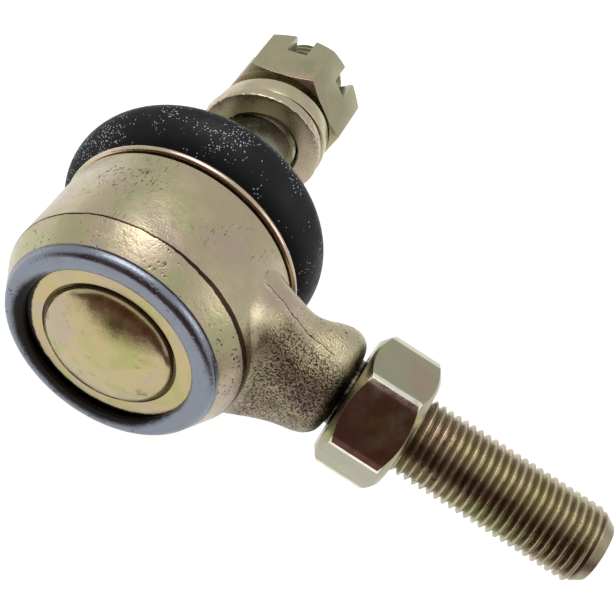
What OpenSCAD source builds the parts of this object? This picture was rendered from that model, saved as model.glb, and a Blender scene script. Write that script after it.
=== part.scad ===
// Outer tie rod end: a greased-for-life ball joint in a forged eye with an integral threaded shank.
// Millimetres. The ball centre is the origin, +X runs along the shank, +Y along the eye's axis
// towards the castle nut, and the joint lies on its side with +Z up.

/* [Housing] */
// Radius of the eye's machined cylinder
eye_r = 18.5; // [18.3:0.1:18.8]
// Height of the eye's shoulder above the ball centre
eye_top = 3.2; // [2.8:0.1:3.3]
// Depth of the eye's lower edge below the ball centre
eye_bottom = 11.4; // [11:0.1:11.8]
// Radius of the boot collar on top of the eye
collar_r = 16.2; // [15.8:0.1:16.2]
// Height of the boot collar's top face above the ball centre
collar_top = 7; // [6.8:0.1:7.4]
// Radius of the mouth that the stud swings in
mouth_r = 10.5; // [10.3:0.1:10.8]
// Radius of the cavity that holds the seats
cavity_r = 13.4; // [13.3:0.1:13.6]
// Radius of the forged shoulder at the root of the shank
shoulder_r = 8.7; // [8.3:0.1:9]

/* [Shank] */
// Thread radius of the shank
shank_r = 6; // [5.9:0.05:6]
// Where the shank's shoulder ends
shoulder_x = 30.8; // [30.4:0.1:31]
// Where the full-size thread begins, outside the jam nut
thread_x = 43.2; // [42.8:0.1:44]
// End of the shank
shank_end_x = 73.3; // [72:0.1:75]
// Jam nut's distance from the ball centre
jam_nut_x = 31.2; // [31.1:0.1:32]

/* [Nuts] */
// Width across the flats of both nuts
nut_flats = 18.6; // [18.5:0.1:19]
// Height of the jam nut
jam_h = 10.4; // [9.8:0.1:10.8]
// Height of the castle nut
castle_h = 12.4; // [12:0.1:13]
// Radius of each nut's bore, on thread crests
nut_bore_r = 6.05; // [6.02:0.01:6.1]
// Width of a castle slot
slot_w = 3.5; // [3:0.1:4]
// Depth of a castle slot
slot_depth = 5.2; // [4.6:0.1:5.4]
// Turn of the castle nut about the stud
castle_turn = 42; // [0:1:59]
// Turn of the jam nut about the shank
jam_turn = 21; // [0:1:59]

/* [Ball stud] */
// Ball radius
ball_r = 11; // [10.9:0.05:11]
// Waist radius under the boot
waist_r = 5.2; // [4.8:0.1:5.6]
// Radius of the land that the boot's small end turns on
land_r = 7; // [6.8:0.1:7]
// Large radius of the 1:10 taper
taper_r = 6.65; // [6.6:0.01:6.7]
// Start of the taper along the stud
taper_from = 23.4; // [23.2:0.1:23.6]
// End of the taper along the stud
taper_to = 35.5; // [35:0.1:36]
// Top of the stud
stud_top = 60.2; // [59:0.1:61]
// Underside of the castle nut along the stud
castle_from = 43.4; // [43.3:0.1:44]
// Lean of the stud towards the shank's far side, in degrees
stud_lean_x = 1.9; // [0:0.1:2.5]
// Lean of the stud downwards, in degrees
stud_lean_z = 2.7; // [0:0.1:3]
// Centre of the cotter pin hole along the stud
cotter_at = 50.5; // [50:0.1:51]
// Radius of the cotter pin hole
cotter_r = 1.6; // [1.2:0.1:1.6]

/* [Washers] */
// Outer radius of the flat washer
flat_r = 10; // [9.6:0.1:10.4]
// Bore radius of both washers
washer_bore_r = 6.5; // [6.45:0.05:6.6]
// Thickness of the flat washer
flat_t = 2; // [1.8:0.1:2.1]
// Underside of the flat washer along the stud
flat_from = 35.6; // [35.5:0.1:35.8]
// Outer radius of the spring washer
spring_r = 9.7; // [9.5:0.1:9.9]
// Thickness of the spring washer
spring_t = 3.2; // [3:0.1:3.2]
// Rise of the spring washer from one cut end to the other
spring_rise = 1.3; // [1:0.1:1.4]
// Width of the cut in the spring washer, in degrees
spring_cut = 9; // [7:1:12]
// Lean of the two loose washers on the stud, in degrees
washer_lean = 8.6; // [0:0.1:8.6]

/* [Boot] */
// Largest radius of the boot
boot_r = 20.4; // [20.2:0.1:20.6]
// Height of the boot's widest ring
boot_wide_h = 10.5; // [10.3:0.1:10.8]
// Height of the boot's crown
boot_crown_h = 15.3; // [15:0.1:15.5]
// Wall thickness of the boot
boot_t = 1.7; // [1.5:0.1:1.8]
// Radius of the boot's small end outside
boot_small_r = 9; // [8.9:0.05:9.1]
// Height of the boot's small end
boot_top = 22.5; // [22.3:0.1:22.7]

/* [Cover plate] */
// Radius of the cover plate's flange
plate_r = 14.45; // [14.3:0.05:14.45]
// Radius at the foot of the cover plate's dome
dome_r = 9.9; // [9.6:0.1:10.2]
// Thickness of the cover plate
plate_t = 1.9; // [1.7:0.1:1.9]
// Outer face of the plate's flange below the ball centre
plate_at = 15.9; // [15.8:0.1:16]
// Height of the dome above the flange
dome_h = 3.1; // [2.6:0.1:3.3]

/* [Hidden] */
$fn = 96;
hull_sides = 32;
running = 0.05;             // radial running clearance of a ball or a thread
loose = 0.3;                // gap between soft parts and their neighbours
slip = 0.05;                // gap round parts that are pushed into the housing
lip_inner_r = 12.8;         // inner edge of the rolled lip
lip_outer_r = 16.2;         // outer edge of the rolled lip
lip_h = 1;                  // how far the lip's crest stands proud
plate_seat = plate_at - plate_t;
counterbore_r = plate_r + slip;
seat_r = cavity_r - slip;
socket_r = ball_r + running;
ledge_h = 4.2;              // underside of the ledge that holds the upper seat
seat_split = 0.15;          // half of the gap between the two seats
lower_seat_base = 11.6;     // underside of the lower seat
grease_r = 3;               // grease hole in the lower seat
mouth_flare = 2;            // widening of the mouth at its top
mouth_straight_h = 5.5;     // where the mouth starts to flare
bead_r = collar_r + loose;  // inside of the boot's clamped bead
bead_out_r = 17.5;          // outside of the boot's clamped bead
bead_bottom = eye_top + loose;
bead_top = 5.4;
ring_in_r = 17.9;
ring_out_r = 18.9;
ring_from = 3.9;
ring_to = 5.1;
top_ring_r = boot_small_r + loose;
top_ring_wall = 0.9;
top_ring_from = 20.9;
top_ring_to = 21.9;
fillet_r = 4;               // fillet between the boot's crown and its small end
crown_r = boot_small_r + fillet_r;
neck_end_h = boot_crown_h + fillet_r;
boot_sides = 48;
lean_wide = [-0.05, -0.11]; // lean of the boot's widest ring in X and Z for each mm of height
shift_wide = [-0.75, 0];    // how far the boot's widest ring sits off the eye's axis in X and Z
stud_dir = [-sin(stud_lean_x) * cos(stud_lean_z), cos(stud_lean_x) * cos(stud_lean_z), -sin(stud_lean_z)];
lean_stud = [stud_dir[0] / stud_dir[1], stud_dir[2] / stud_dir[1]];
nut_corner_r = nut_flats / 2 / cos(30);
castle_base = [9.4, 0.8];   // chamfer at the castle nut's base: radius on the face, length at the corners
castle_crown = [8.9, 1.9];  // chamfer at its slotted end
jam_end = [8.7, 1.5];       // chamfer at both ends of the jam nut
waist_from = 9;
waist_to = 13;
land_from = 16.3;
end_chamfer = 1.5;          // chamfer at the end of both threads
cone_from = 18.5;           // tip of the shoulder's cone, inside the neck
core_r = 5.3;               // thread root under the jam nut, where the nut's own thread fills the gap
preload_t = 0.9;
preload_in_r = 5;
preload_out_r = 11;
turns_fn = 60;              // steps round the spring washer
gold = [0.72, 0.67, 0.52];
steel = [0.55, 0.57, 0.6];
dark_steel = [0.35, 0.35, 0.36];
rubber = [0.06, 0.06, 0.07];
nylon = [0.86, 0.85, 0.8];

function smooth(t) = let (u = min(1, max(0, t))) u * u * (3 - 2 * u);
function unit(v) = v / norm(v);
function arc(cx, cy, rx, ry, from, to, steps) =
    [for (i = [0:steps]) let (a = from + (to - from) * i / steps) [cx + rx * cos(a), cy + ry * sin(a)]];

// Turns a shape drawn round +Z so that it stands along +Y, the eye's axis.
module along_y() {
    rotate([-90, 0, 0]) children();
}

// Turns a shape drawn round +Z so that it lies along +X, the shank's axis.
module along_x() {
    rotate([0, 90, 0]) children();
}

// Turns a shape drawn round +Z onto the stud's leaning axis.
module on_stud() {
    rotate([-stud_lean_z, 0, stud_lean_x]) along_y() children();
}

// Turns a shape drawn round +Z onto the stud, at a height, with the loose washers' lean.
module on_washer_lean(at) {
    on_stud() translate([0, 0, at]) rotate([0, -washer_lean, 0]) children();
}

// Section of the forged neck across the shank's axis at x.
module neck_section(x, centre_y, half_y, half_z, corner) {
    translate([x, centre_y, 0]) along_x()
        linear_extrude(0.02) offset(r = corner, $fn = hull_sides)
            square([2 * (half_z - corner), 2 * (half_y - corner)], center = true);
}

module neck() {
    hull() {
        neck_section(12.5, -3, 5.9, 13.2, 4.5);
        neck_section(19.8, -2.7, 6.2, 10.4, 4.5);
    }
    hull() {
        neck_section(19.8, -2.7, 6.2, 10.4, 4.5);
        neck_section(22.2, -2.15, 6.75, 8.7, 5);
    }
    hull() {
        neck_section(22.2, -2.15, 6.75, 8.7, 5);
        neck_section(26, -0.2, shoulder_r, shoulder_r, shoulder_r - 0.2);
    }
}

module shank() {
    along_x() rotate_extrude() polygon(concat(
        [[0, cone_from], [shoulder_r - 0.8, 25.6], [shoulder_r, 26.6]],
        arc(shoulder_r - 1.6, shoulder_x - 2.2, 1.6, 2.2, 0, 90, 8),
        [[core_r, shoulder_x], [core_r, thread_x], [shank_r, thread_x],
         [shank_r, shank_end_x - 2.5]],
        [[shank_r - end_chamfer, shank_end_x], [0, shank_end_x]]));
}

module housing() {
    color(gold) difference() {
        union() {
            along_y() rotate_extrude() polygon(concat(
                [[0, -plate_seat - 1], [lip_inner_r, -plate_at]],
                arc((lip_inner_r + lip_outer_r) / 2, -plate_at, (lip_outer_r - lip_inner_r) / 2, lip_h, 180, 360, 12),
                [[lip_outer_r, -plate_at + 0.4], [eye_r, -eye_bottom], [eye_r, eye_top - 0.4],
                 [eye_r - 0.4, eye_top], [collar_r, eye_top], [collar_r, collar_top - 0.5],
                 [collar_r - 0.5, collar_top], [0, collar_top]]));
            neck();
            shank();
        }
        along_y() rotate_extrude() polygon([
            [0, -plate_at - lip_h - 1], [lip_inner_r, -plate_at - lip_h - 1],
            [lip_inner_r, -plate_at], [counterbore_r, -plate_at], [counterbore_r, -plate_seat],
            [cavity_r, -plate_seat], [cavity_r, ledge_h], [mouth_r, ledge_h],
            [mouth_r, mouth_straight_h], [mouth_r + mouth_flare, collar_top],
            [mouth_r + mouth_flare, collar_top + 1], [0, collar_top + 1]]);
    }
}

module cover_plate() {
    color(gold) along_y() rotate_extrude() polygon(concat(
        [[plate_r, -plate_seat], [plate_r, -plate_at], [dome_r, -plate_at]],
        arc(dome_r - 2.4, -plate_at - dome_h + 2.1, 2.3, 1.8, 0, -70, 6),
        [[0, -plate_at - dome_h]],
        [[0, -plate_at - dome_h + plate_t], [dome_r - 3, -plate_at - dome_h + plate_t + 0.4],
         [dome_r - 2, -plate_seat]]));
}

module lower_seat() {
    color(nylon) difference() {
        along_y() translate([0, 0, -lower_seat_base]) cylinder(r = seat_r, h = lower_seat_base - seat_split);
        sphere(r = socket_r);
        along_y() translate([0, 0, -lower_seat_base - 1]) cylinder(r = grease_r, h = lower_seat_base);
    }
}

module upper_seat() {
    color(nylon) difference() {
        along_y() translate([0, 0, seat_split]) cylinder(r = seat_r, h = ledge_h - seat_split);
        sphere(r = socket_r);
    }
}

// Conical disc spring between the lower seat and the cover plate.
module preload_spring() {
    color(dark_steel) along_y() rotate_extrude() polygon([
        [preload_in_r, -lower_seat_base], [preload_in_r + 0.5, -lower_seat_base],
        [preload_out_r, -plate_seat + preload_t], [preload_out_r, -plate_seat],
        [preload_out_r - 0.5, -plate_seat], [preload_in_r, -lower_seat_base - preload_t]]);
}

module clamp_ring() {
    color(gold) along_y() translate([0, 0, ring_from]) difference() {
        cylinder(r = ring_out_r, h = ring_to - ring_from);
        translate([0, 0, -1]) cylinder(r = ring_in_r, h = ring_to - ring_from + 2);
    }
}

// Closed outline of the boot's wall, as radius and height on an upright boot.
boot_outline = concat(
    [[bead_r, bead_bottom], [bead_out_r, bead_bottom], [bead_out_r, bead_top]],
    arc(crown_r, boot_wide_h, boot_r - crown_r, boot_crown_h - boot_wide_h, -56, 90, 16),
    arc(crown_r, neck_end_h, fillet_r, fillet_r, -110, -180, 5),
    [[boot_small_r, boot_top], [boot_small_r - boot_t, boot_top]],
    arc(crown_r, neck_end_h, fillet_r + boot_t, fillet_r + boot_t, -180, -100, 5),
    arc(crown_r, boot_wide_h, boot_r - crown_r - boot_t, boot_crown_h - boot_wide_h - boot_t, 90, -46, 14),
    [[bead_r, bead_top + 1]]);

// A point of the boot, leaning with the ring's height: upright at the bead, on the stud at the top.
function boot_rise(h) = smooth((h - bead_top) / (boot_wide_h - bead_top));
function boot_settle(h) = smooth((h - boot_wide_h) / (neck_end_h - boot_wide_h));
function boot_lean(h) = boot_rise(h) * (lean_wide * (1 - boot_settle(h)) + lean_stud * boot_settle(h));
function boot_shift(h) = smooth((h - bead_top) / (neck_end_h - bead_top)) * h * lean_stud
    + boot_rise(h) * (1 - boot_settle(h)) * shift_wide;
function boot_point(r, h, a) =
    let (lean = boot_lean(h), shift = boot_shift(h),
         up = unit([lean[0], 1, lean[1]]),
         east = unit(cross(up, [0, 0, 1])),
         north = cross(east, up))
    [shift[0], h, shift[1]] + r * (cos(a) * east + sin(a) * north);

module boot() {
    count = len(boot_outline);
    points = [for (i = [0:boot_sides - 1]) for (p = boot_outline) boot_point(p[0], p[1], 360 * i / boot_sides)];
    faces = [for (i = [0:boot_sides - 1]) for (k = [0:count - 1])
        let (a = i * count, b = ((i + 1) % boot_sides) * count, m = (k + 1) % count)
        for (f = [[a + k, b + k, b + m], [a + k, b + m, a + m]]) f];
    color(rubber) polyhedron(points, faces);
}

module boot_top_ring() {
    color(steel) on_stud() translate([0, 0, top_ring_from]) difference() {
        cylinder(r = top_ring_r + top_ring_wall, h = top_ring_to - top_ring_from);
        translate([0, 0, -1]) cylinder(r = top_ring_r, h = top_ring_to - top_ring_from + 2);
    }
}

module ball_stud() {
    color(gold) difference() {
        union() {
            sphere(r = ball_r);
            on_stud() rotate_extrude() polygon([
                [0, 0], [waist_r, waist_from], [waist_r, waist_to], [land_r, land_from],
                [land_r, taper_from - 0.3], [taper_r, taper_from], [taper_r - (taper_to - taper_from) / 20, taper_to],
                [shank_r, taper_to], [shank_r, stud_top - end_chamfer],
                [shank_r - end_chamfer, stud_top], [0, stud_top]]);
        }
        on_stud() translate([0, 0, cotter_at]) rotate([0, 0, castle_turn + 30]) along_x()
            cylinder(r = cotter_r, h = 4 * shank_r, center = true);
    }
}

module flat_washer() {
    color(gold) on_washer_lean(flat_from) difference() {
        cylinder(r = flat_r, h = flat_t);
        translate([0, 0, -1]) cylinder(r = washer_bore_r, h = flat_t + 2);
    }
}

// Split ring of rectangular section that climbs from one cut end to the other.
module spring_washer() {
    sweep = 360 - spring_cut;
    points = [for (i = [0:turns_fn])
        let (a = 180 + spring_cut / 2 + sweep * i / turns_fn, z = spring_rise * i / turns_fn)
        for (p = [[washer_bore_r, 0], [spring_r, 0], [spring_r, spring_t], [washer_bore_r, spring_t]])
            [p[0] * cos(a), p[0] * sin(a), z + p[1]]];
    walls = [for (i = [0:turns_fn - 1]) for (k = [0:3])
        let (a = 4 * i, b = 4 * (i + 1), m = (k + 1) % 4)
        for (f = [[a + k, b + k, b + m], [a + k, b + m, a + m]]) f];
    ends = [[0, 1, 2], [0, 2, 3], [4 * turns_fn, 4 * turns_fn + 2, 4 * turns_fn + 1],
            [4 * turns_fn, 4 * turns_fn + 3, 4 * turns_fn + 2]];
    middle = flat_t + (spring_t + spring_rise) / 2;
    color(gold) on_washer_lean(flat_from) translate([middle * tan(washer_lean), 0, flat_t + slip])
        polyhedron(points, concat(walls, ends));
}

// Hexagon nut of height h along +Z, with a turned chamfer at its base and at its top.
module hexagon_nut(h, base, top) {
    difference() {
        intersection() {
            cylinder(r = nut_corner_r, h = h, $fn = 6);
            rotate_extrude() polygon([
                [0, 0], [base[0], 0], [nut_corner_r + 0.01, base[1]],
                [nut_corner_r + 0.01, h - top[1]], [top[0], h], [0, h]]);
        }
        translate([0, 0, -1]) cylinder(r = nut_bore_r, h = h + 2);
    }
}

module castle_nut() {
    color(gold) on_stud() translate([0, 0, castle_from]) rotate([0, 0, castle_turn]) difference() {
        hexagon_nut(castle_h, castle_base, castle_crown);
        for (a = [30, 90, 150])
            rotate([0, 0, a]) translate([-nut_corner_r, -slot_w / 2, castle_h - slot_depth])
                cube([2 * nut_corner_r, slot_w, slot_depth + 1]);
    }
}

module jam_nut() {
    color(gold) translate([jam_nut_x, 0, 0]) rotate([jam_turn, 0, 0]) along_x() hexagon_nut(jam_h, jam_end, jam_end);
}

housing();
cover_plate();
lower_seat();
upper_seat();
preload_spring();
clamp_ring();
boot();
boot_top_ring();
ball_stud();
flat_washer();
spring_washer();
castle_nut();
jam_nut();
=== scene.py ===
"""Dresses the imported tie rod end: forged housing, milled hardware, rubber boot and a pale studio."""

import logging
import math
from dataclasses import dataclass
from enum import Enum
from typing import Callable, Sequence

import bpy
from mathutils import Euler, Matrix, Vector, noise


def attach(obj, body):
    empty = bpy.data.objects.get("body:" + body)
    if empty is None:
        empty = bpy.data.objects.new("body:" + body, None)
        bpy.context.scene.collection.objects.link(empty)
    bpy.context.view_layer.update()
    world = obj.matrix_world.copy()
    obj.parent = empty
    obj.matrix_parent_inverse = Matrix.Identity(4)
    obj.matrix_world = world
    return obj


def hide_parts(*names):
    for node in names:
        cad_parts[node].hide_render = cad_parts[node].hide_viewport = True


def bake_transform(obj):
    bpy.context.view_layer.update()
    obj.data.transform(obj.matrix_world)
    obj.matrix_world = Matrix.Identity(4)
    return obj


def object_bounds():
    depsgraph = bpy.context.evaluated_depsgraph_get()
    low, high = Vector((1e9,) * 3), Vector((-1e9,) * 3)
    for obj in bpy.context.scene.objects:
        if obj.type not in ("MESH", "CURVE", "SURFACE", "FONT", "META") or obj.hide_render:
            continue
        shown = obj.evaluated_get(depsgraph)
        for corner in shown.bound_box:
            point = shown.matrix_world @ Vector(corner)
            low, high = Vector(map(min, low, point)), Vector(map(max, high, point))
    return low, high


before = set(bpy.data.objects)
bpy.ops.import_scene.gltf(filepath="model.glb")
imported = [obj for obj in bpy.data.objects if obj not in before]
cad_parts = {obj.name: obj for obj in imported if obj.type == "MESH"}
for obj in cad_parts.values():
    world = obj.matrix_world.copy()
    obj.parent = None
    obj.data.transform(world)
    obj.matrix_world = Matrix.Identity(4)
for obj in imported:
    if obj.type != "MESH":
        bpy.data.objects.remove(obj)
CAD_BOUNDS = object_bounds()
LOG = logging.getLogger("tie_rod_end")
MM = 0.001
THREAD_DEPTH = 0.6
Point = tuple[float, float]
Colour = tuple[float, float, float]
Obj = bpy.types.Object
Socket = bpy.types.NodeSocket
Material = bpy.types.Material


# ---------------------------------------------------------------- axes

@dataclass(frozen=True)
class Layout:
    """Where the joint's axes lie, in millimetres and degrees."""

    stud_lean_x: float = 1.9
    stud_lean_z: float = 2.7
    washer_lean: float = 8.6
    flat_from: float = 35.6
    castle_from: float = 43.4
    castle_turn: float = 42.0
    jam_from: float = 31.2
    jam_turn: float = 21.0

    def eye(self) -> Matrix:
        """Stands a shape made round +Z along the eye's axis, +Y."""
        return Matrix.Rotation(math.radians(-90), 4, "X")

    def shank(self) -> Matrix:
        """Lays a shape made round +Z along the shank's axis, +X."""
        return Matrix.Rotation(math.radians(90), 4, "Y")

    def stud(self) -> Matrix:
        """Turns a shape made round +Z onto the stud's leaning axis."""
        lean = Euler((math.radians(-self.stud_lean_z), 0.0, math.radians(self.stud_lean_x)), "XYZ")
        return lean.to_matrix().to_4x4() @ self.eye()

    def washer(self) -> Matrix:
        """Puts a shape made round +Z on the stud with the loose washers' lean."""
        up = Matrix.Translation((0.0, 0.0, self.flat_from))
        return self.stud() @ up @ Matrix.Rotation(math.radians(-self.washer_lean), 4, "Y")

    def stud_direction(self) -> Vector:
        """Gives the stud's axis as a unit vector."""
        return self.stud().to_3x3() @ Vector((0.0, 0.0, 1.0))


LAYOUT = Layout()


# ---------------------------------------------------------------- modelling

def deselect() -> None:
    """Leaves edit mode and deselects every object."""
    if bpy.context.object and bpy.context.object.mode != "OBJECT":
        bpy.ops.object.mode_set(mode="OBJECT")
    bpy.ops.object.select_all(action="DESELECT")


def take(obj: Obj) -> Obj:
    """Makes an object the only selected and active one."""
    deselect()
    obj.select_set(True)
    bpy.context.view_layer.objects.active = obj
    return obj


def edit_all(obj: Obj) -> None:
    """Opens an object in edit mode with all of it selected."""
    take(obj)
    bpy.ops.object.mode_set(mode="EDIT")
    bpy.ops.mesh.select_all(action="SELECT")


def named(name: str) -> Obj:
    """Names the object that an operator has just added and gives it back."""
    obj = bpy.context.object
    obj.name = name
    obj.data.name = name
    return obj


def change(obj: Obj, name: str, kind: str, **settings: object) -> Obj:
    """Adds a modifier with its settings and applies it.

    Args:
        obj: The mesh to change.
        name: The modifier's name.
        kind: The modifier's type.
        **settings: The modifier's own settings.

    Returns:
        The changed object.
    """
    take(obj)
    modifier = obj.modifiers.new(name, kind)
    for key, value in settings.items():
        setattr(modifier, key, value)
    bpy.ops.object.modifier_apply(modifier=modifier.name)
    return obj


def clean(obj: Obj, gap: float = 1e-4) -> Obj:
    """Merges doubles and turns the faces outwards.

    Args:
        obj: The mesh, in millimetres.
        gap: Points closer than this become one.

    Returns:
        The same object.
    """
    edit_all(obj)
    bpy.ops.mesh.remove_doubles(threshold=gap)
    bpy.ops.mesh.dissolve_degenerate(threshold=gap)
    bpy.ops.mesh.select_all(action="SELECT")
    bpy.ops.mesh.normals_make_consistent(inside=False)
    bpy.ops.object.mode_set(mode="OBJECT")
    return obj


def draw_outline(name: str, outline: Sequence[Point]) -> Obj:
    """Draws an outline in the XZ plane by extruding one point along it.

    Args:
        name: The object's name.
        outline: Radius and height of each point, in millimetres.

    Returns:
        A mesh of edges.
    """
    deselect()
    bpy.ops.mesh.primitive_plane_add(size=1.0, location=(0.0, 0.0, 0.0))
    obj = named(name)
    edit_all(obj)
    bpy.ops.mesh.merge(type="CENTER")
    bpy.ops.transform.translate(value=(outline[0][0], 0.0, outline[0][1]))
    for (r0, h0), (r1, h1) in zip(outline, outline[1:]):
        bpy.ops.mesh.extrude_region_move(TRANSFORM_OT_translate={"value": (r1 - r0, 0.0, h1 - h0)})
    bpy.ops.object.mode_set(mode="OBJECT")
    return obj


def lathe(name: str, outline: Sequence[Point], steps: int = 128, sweep: float = 360.0) -> Obj:
    """Spins an outline round +Z.

    Args:
        name: The object's name.
        outline: Radius and height of each point, in millimetres; a closed shape repeats its first point.
        steps: Steps round the sweep.
        sweep: Degrees to spin through.

    Returns:
        The turned mesh.
    """
    obj = draw_outline(name, outline)
    edit_all(obj)
    bpy.ops.mesh.spin(steps=steps, angle=math.radians(sweep), center=(0.0, 0.0, 0.0), axis=(0.0, 0.0, 1.0))
    bpy.ops.object.mode_set(mode="OBJECT")
    return clean(obj)


def wrap(name: str, across: int, along: int, place: Callable[[float, float], Vector]) -> Obj:
    """Wraps a flat grid into a closed surface.

    Args:
        name: The object's name.
        across: Cells round the shape.
        along: Cells along the shape.
        place: Gives a point in millimetres for a share of the way round and along.

    Returns:
        The wrapped mesh with its seam merged and any open end filled.
    """
    deselect()
    bpy.ops.mesh.primitive_grid_add(x_subdivisions=across, y_subdivisions=along, size=1.0)
    obj = named(name)
    for v in obj.data.vertices:
        v.co = place(v.co.x + 0.5, v.co.y + 0.5)
    edit_all(obj)
    bpy.ops.mesh.remove_doubles(threshold=1e-4)
    bpy.ops.mesh.select_all(action="DESELECT")
    bpy.ops.mesh.select_non_manifold(extend=False)
    if obj.data.total_edge_sel:
        bpy.ops.mesh.fill_holes(sides=0)
    bpy.ops.object.mode_set(mode="OBJECT")
    return clean(obj)


def combine(obj: Obj, tool: Obj, operation: str) -> Obj:
    """Applies a boolean and removes its tool.

    Args:
        obj: The mesh to change.
        tool: The mesh that changes it.
        operation: DIFFERENCE, INTERSECT or UNION.

    Returns:
        The changed object.
    """
    change(obj, "combine", "BOOLEAN", operation=operation, solver="EXACT", object=tool)
    bpy.data.objects.remove(tool, do_unlink=True)
    return obj


def join(obj: Obj, *others: Obj) -> Obj:
    """Joins other meshes into the first one."""
    take(obj)
    for other in others:
        other.select_set(True)
    bpy.ops.object.join()
    return obj


def soften(obj: Obj, width: float, segments: int = 3, angle: float = 22.0) -> Obj:
    """Rounds the edges that are sharper than an angle.

    Args:
        obj: The mesh, in millimetres.
        width: Width of the rounding.
        segments: Faces across the rounding.
        angle: Smallest angle that counts as an edge, in degrees.

    Returns:
        The same object.
    """
    return change(obj, "soften", "BEVEL", width=width, segments=segments, limit_method="ANGLE",
                  angle_limit=math.radians(angle), use_clamp_overlap=True)


def reshape(obj: Obj, move: Callable[[Vector], Vector]) -> Obj:
    """Moves every point of a mesh by a rule."""
    for v in obj.data.vertices:
        v.co = move(v.co.copy())
    return obj


def trim(obj: Obj, low: float, high: float) -> Obj:
    """Cuts a mesh flat at two heights and closes the cuts.

    Args:
        obj: A mesh along +Z.
        low: Lower cut, in millimetres.
        high: Upper cut, in millimetres.

    Returns:
        The same object.
    """
    for height, below in ((low, True), (high, False)):
        edit_all(obj)
        bpy.ops.mesh.bisect(
            plane_co=(0.0, 0.0, height), plane_no=(0.0, 0.0, 1.0),
            use_fill=True, clear_inner=below, clear_outer=not below)
    bpy.ops.object.mode_set(mode="OBJECT")
    return obj


def rolled_thread(name: str, crest: float, pitch: float, low: float, high: float) -> Obj:
    """Makes a rolled screw thread along +Z.

    Args:
        name: The object's name.
        crest: Radius over the crests, in millimetres.
        pitch: Rise in one turn.
        low: Where the thread starts.
        high: Where it ends.

    Returns:
        A closed thread of that length.
    """
    root = crest - THREAD_DEPTH * pitch
    rise = crest - root
    turn = [(0.0, 0.06), (0.06, 0.0), (0.12, 0.06), (0.29, 0.5), (0.45, 0.9), (0.5, 0.985),
            (0.54, 1.0), (0.60, 1.0), (0.64, 0.985), (0.69, 0.9), (0.85, 0.5), (1.0, 0.06)]
    start = low - pitch
    outline = [(root + rise * up, start + pitch * way) for way, up in turn]
    obj = draw_outline(name, outline)
    change(obj, "thread", "SCREW", axis="Z", angle=math.radians(360), screw_offset=pitch,
           iterations=math.ceil((high - low) / pitch) + 2, steps=72, render_steps=72,
           use_merge_vertices=True, merge_threshold=1e-3)
    clean(obj, 1e-3)
    return trim(obj, low, high)


def hold_in(obj: Obj, limit: Callable[[float], float]) -> Obj:
    """Pulls points in to a turned outline, as a chamfer cuts a thread's ends.

    Args:
        obj: A mesh along +Z.
        limit: Largest radius at a height.

    Returns:
        The same object.
    """
    def move(p: Vector) -> Vector:
        """Gives the point held inside the outline."""
        radius = math.hypot(p.x, p.y)
        share = min(1.0, limit(p.z) / max(radius, 1e-6))
        return Vector((p.x * share, p.y * share, p.z))

    return reshape(obj, move)


def settle(obj: Obj, matrix: Matrix, angle: float = 30.0) -> Obj:
    """Puts a finished mesh in its place in metres, with its object at the origin.

    Args:
        obj: The mesh, in millimetres.
        matrix: Its place, in millimetres.
        angle: Edges sharper than this stay sharp, in degrees.

    Returns:
        The same object.
    """
    obj.data.transform(Matrix.Scale(MM, 4) @ matrix)
    take(obj)
    bpy.ops.object.shade_smooth_by_angle(angle=math.radians(angle))
    deselect()
    return obj


def stand_for(piece: Obj, finish: Material, node: str, body: str, slot: str) -> None:
    """Dresses a piece and lets it ride on its body in place of a CAD node."""
    piece.data.materials.append(finish)
    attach(piece, body)
    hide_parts(node)


def arc(cx: float, cy: float, rx: float, ry: float, start: float, end: float, steps: int) -> list[Point]:
    """Gives points along part of an ellipse, from one angle to another in degrees."""
    angles = [math.radians(start + (end - start) * i / steps) for i in range(steps + 1)]
    return [(cx + rx * math.cos(a), cy + ry * math.sin(a)) for a in angles]


def smooth_step(t: float) -> float:
    """Eases from 0 to 1."""
    u = min(1.0, max(0.0, t))
    return u * u * (3.0 - 2.0 * u)


def along_curve(stations: Sequence[Sequence[float]], x: float) -> list[float]:
    """Interpolates rows of values smoothly by their first value.

    Args:
        stations: Rows that start with a place, in rising order.
        x: The place asked for.

    Returns:
        The row's other values there.
    """
    last = len(stations) - 1
    i = max(0, min(last - 1, sum(1 for s in stations if s[0] <= x) - 1))
    p1, p2 = stations[i], stations[i + 1]
    p0, p3 = stations[max(i - 1, 0)], stations[min(i + 2, last)]
    t = (x - p1[0]) / (p2[0] - p1[0])
    width = p2[0] - p1[0]
    values = []
    for k in range(1, len(p1)):
        m1 = (p2[k] - p0[k]) / max(p2[0] - p0[0], 1e-6) * width
        m2 = (p3[k] - p1[k]) / max(p3[0] - p1[0], 1e-6) * width
        values.append((2 * t**3 - 3 * t**2 + 1) * p1[k] + (t**3 - 2 * t**2 + t) * m1
                      + (3 * t**2 - 2 * t**3) * p2[k] + (t**3 - t**2) * m2)
    return values


# ---------------------------------------------------------------- shader groups

class Kind(Enum):
    """Kinds of socket that a shader group has."""

    NUMBER = "NodeSocketFloat"
    COLOUR = "NodeSocketColor"
    VECTOR = "NodeSocketVector"


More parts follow.
